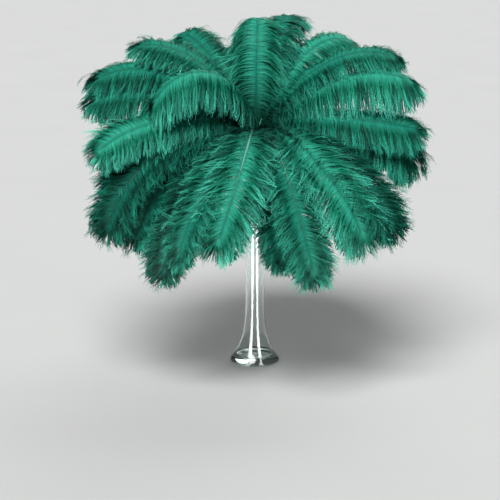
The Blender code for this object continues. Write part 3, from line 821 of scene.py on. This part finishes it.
def build_plume(name, plume, slot, sizes, seed):
    """One plume as a plain mesh, in place of its solid."""
    rng = np.random.default_rng(seed)
    chains = bpy.data.objects.new(f"plume_{name}", fibre_skeleton(name, plume, slot, sizes, rng))
    bpy.context.scene.collection.objects.link(chains)
    modifier = chains.modifiers.new("fibres", "NODES")
    modifier.node_group = fibre_tree()
    inputs = {
        "Barbule Length": sizes.barbule_length,
        "Barbule Width": sizes.barbule_width,
        "Barbules": sizes.barbules,
        "Map Size": FIBRE_ON_MAP,
        "Seed": seed,
        "Lock Material": dyed_barbs_with_painted_light(plume.tone, "locks", sizes),
        "Under Material": dyed_barbs_with_painted_light(plume.tone, "under", sizes),
        "Shaft Material": dyed_shaft(plume.shaft),
    }
    for item in modifier.node_group.interface.items_tree:
        if item.name in inputs and item.in_out == "INPUT":
            modifier[item.identifier] = inputs[item.name]
    plain = bpy.data.meshes.new_from_object(chains.evaluated_get(bpy.context.evaluated_depsgraph_get()))
    chains.modifiers.clear()
    chains.data = plain
    for attribute in [a.name for a in plain.attributes]:
        if attribute in ("facing", "thickness", "place", "fuzz", "part", "spot"):
            plain.attributes.remove(plain.attributes[attribute])
    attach(chains, "root")
    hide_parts(f"feather_{name}")


def build_group(group):
    """Every plume of one ring, each with a seed of its own."""
    sizes = bpy.context.scene.plume_sizes
    slots = quill_slots()
    for index, (name, plume) in enumerate(zip(plume_names(), PLUMES)):
        if plume.group == group:
            build_plume(name, plume, slots[index], sizes, seed=FIRST_SEED + index)


# ---------------------------------------- stage

CAMERA_TARGET = (-0.0108, 0.0, 0.2555)
CAMERA_DISTANCE = 3.083
CAMERA_PITCH = math.radians(14.0)
CAMERA_LENS = 100.0         # on a sensor this wide, both in mm
SENSOR_WIDTH = 36.0
FLOOR_LEVEL = -0.5 * MM     # just clear of the foot
SOFTBOX_DISTANCE = 0.48     # from the vase's axis, so that the highlight runs down the whole neck
SOFTBOX_HEIGHT = 0.21

# name: where from, strength, softness in degrees
SUNS = {
    "key": ((-0.2, -0.75, 1.15), 3.6, 34.0),
    "back": ((0.35, 0.85, 0.75), 1.35, 45.0),
}
# name: degrees from the front, size, watts
SOFTBOXES = {
    "left_softbox": (-30.0, (0.19, 0.40), 2.6),
    "right_softbox": (30.0, (0.17, 0.40), 2.4),
}
SKY_COLOUR = "#e9ecee"
SKY_STRENGTH = 0.11


def aim(thing, target):
    """Turn a light or camera so that it looks at target, level with the ground."""
    way = Vector(target) - thing.location
    thing.rotation_euler = way.to_track_quat("-Z", "Y").to_euler()


def build_softbox(name, heading, size, watts):
    """A tall softbox close to the neck, seen only as the upright highlight it draws on the glass."""
    data = bpy.data.lights.new(name, "AREA")
    data.shape = "RECTANGLE"
    data.size, data.size_y = size
    data.energy = watts
    lamp = bpy.data.objects.new(name, data)
    bpy.context.scene.collection.objects.link(lamp)
    turn = math.radians(heading)
    lamp.location = (SOFTBOX_DISTANCE * math.sin(turn), -SOFTBOX_DISTANCE * math.cos(turn), SOFTBOX_HEIGHT)
    lamp.visible_camera = False
    lamp.visible_diffuse = False
    aim(lamp, (0.0, 0.0, SOFTBOX_HEIGHT))


def build_sun(name, way, strength, softness):
    """A broad distant light that shines from way and lights the whole floor evenly."""
    data = bpy.data.lights.new(name, "SUN")
    data.energy = strength
    data.angle = math.radians(softness)
    lamp = bpy.data.objects.new(name, data)
    bpy.context.scene.collection.objects.link(lamp)
    lamp.location = way
    aim(lamp, (0.0, 0.0, 0.0))


def build_stage(sizes):
    """The pale floor, the lights, the sky and the camera."""
    mesh = bpy.data.meshes.new("floor")
    floor_mesh = bmesh.new()
    bmesh.ops.create_grid(floor_mesh, x_segments=1, y_segments=1, size=sizes.floor_size / 2,
                          matrix=Matrix.Translation((0.0, 0.0, FLOOR_LEVEL)))
    floor_mesh.to_mesh(mesh)
    floor_mesh.free()
    floor = bpy.data.objects.new("floor", mesh)
    bpy.context.scene.collection.objects.link(floor)
    mesh.materials.append(painted_floor(sizes.floor_colour))

    for name, settings in SUNS.items():
        build_sun(name, *settings)
    for name, settings in SOFTBOXES.items():
        build_softbox(name, *settings)
    world = bpy.data.worlds.new("studio")
    world.use_nodes = True
    background = world.node_tree.nodes["Background"]
    background.inputs["Color"].default_value = linear(SKY_COLOUR)
    background.inputs["Strength"].default_value = SKY_STRENGTH
    bpy.context.scene.world = world
    bpy.context.scene.view_settings.view_transform = "Standard"

    data = bpy.data.cameras.new("camera")
    data.lens = CAMERA_LENS
    data.sensor_width = SENSOR_WIDTH
    camera = bpy.data.objects.new("camera", data)
    bpy.context.scene.collection.objects.link(camera)
    back = Vector((0.0, -math.cos(CAMERA_PITCH), math.sin(CAMERA_PITCH))) * CAMERA_DISTANCE
    camera.location = Vector(CAMERA_TARGET) + back
    aim(camera, CAMERA_TARGET)
    bpy.context.scene.camera = camera


# ---------------------------------------- operators and panel

class PLUMES_OT_vase(Operator):
    """Turn the clear glass trumpet vase"""
    bl_idname = "plumes.vase"
    bl_label = "Glass Vase"

    def execute(self, context):
        build_vase(context.scene.vase_sizes)
        return {"FINISHED"}


class PLUMES_OT_upright(Operator):
    """Grow the crown of plumes that stand in the inner ring"""
    bl_idname = "plumes.upright"
    bl_label = "Upright Plumes"

    def execute(self, context):
        build_group("upright")
        return {"FINISHED"}


class PLUMES_OT_arching(Operator):
    """Grow the plumes that arch out to the sides"""
    bl_idname = "plumes.arching"
    bl_label = "Arching Plumes"

    def execute(self, context):
        build_group("arching")
        return {"FINISHED"}


class PLUMES_OT_drooping(Operator):
    """Grow the plumes that go over the rim and hang"""
    bl_idname = "plumes.drooping"
    bl_label = "Drooping Plumes"

    def execute(self, context):
        build_group("drooping")
        return {"FINISHED"}


class PLUMES_OT_stage(Operator):
    """Set the pale floor, the soft lights and the camera"""
    bl_idname = "plumes.stage"
    bl_label = "Studio Stage"

    def execute(self, context):
        build_stage(context.scene.stage_sizes)
        return {"FINISHED"}


OPERATORS = (PLUMES_OT_stage, PLUMES_OT_vase, PLUMES_OT_upright, PLUMES_OT_arching, PLUMES_OT_drooping)


class PLUMES_PT_panel(Panel):
    bl_label = "Plumes"
    bl_idname = "PLUMES_PT_panel"
    bl_space_type = "VIEW_3D"
    bl_region_type = "UI"
    bl_category = "Plumes"

    def draw(self, context):
        for operator in OPERATORS:
            self.layout.operator(operator.bl_idname)
        for group in (context.scene.plume_sizes, context.scene.vase_sizes, context.scene.stage_sizes):
            for name in group.bl_rna.properties.keys():
                if name not in ("rna_type", "name"):
                    self.layout.prop(group, name)


CLASSES = (PlumeSizes, VaseSizes, StageSizes, *OPERATORS, PLUMES_PT_panel)


def register():
    for cls in CLASSES:
        bpy.utils.register_class(cls)
    bpy.types.Scene.plume_sizes = PointerProperty(type=PlumeSizes)
    bpy.types.Scene.vase_sizes = PointerProperty(type=VaseSizes)
    bpy.types.Scene.stage_sizes = PointerProperty(type=StageSizes)


def unregister():
    for name in ("plume_sizes", "vase_sizes", "stage_sizes"):
        delattr(bpy.types.Scene, name)
    for cls in reversed(CLASSES):
        bpy.utils.unregister_class(cls)


def main():
    register()
    bpy.ops.plumes.stage()
    bpy.ops.plumes.vase()
    bpy.ops.plumes.upright()
    bpy.ops.plumes.arching()
    bpy.ops.plumes.drooping()


if __name__ == "__main__":
    main()
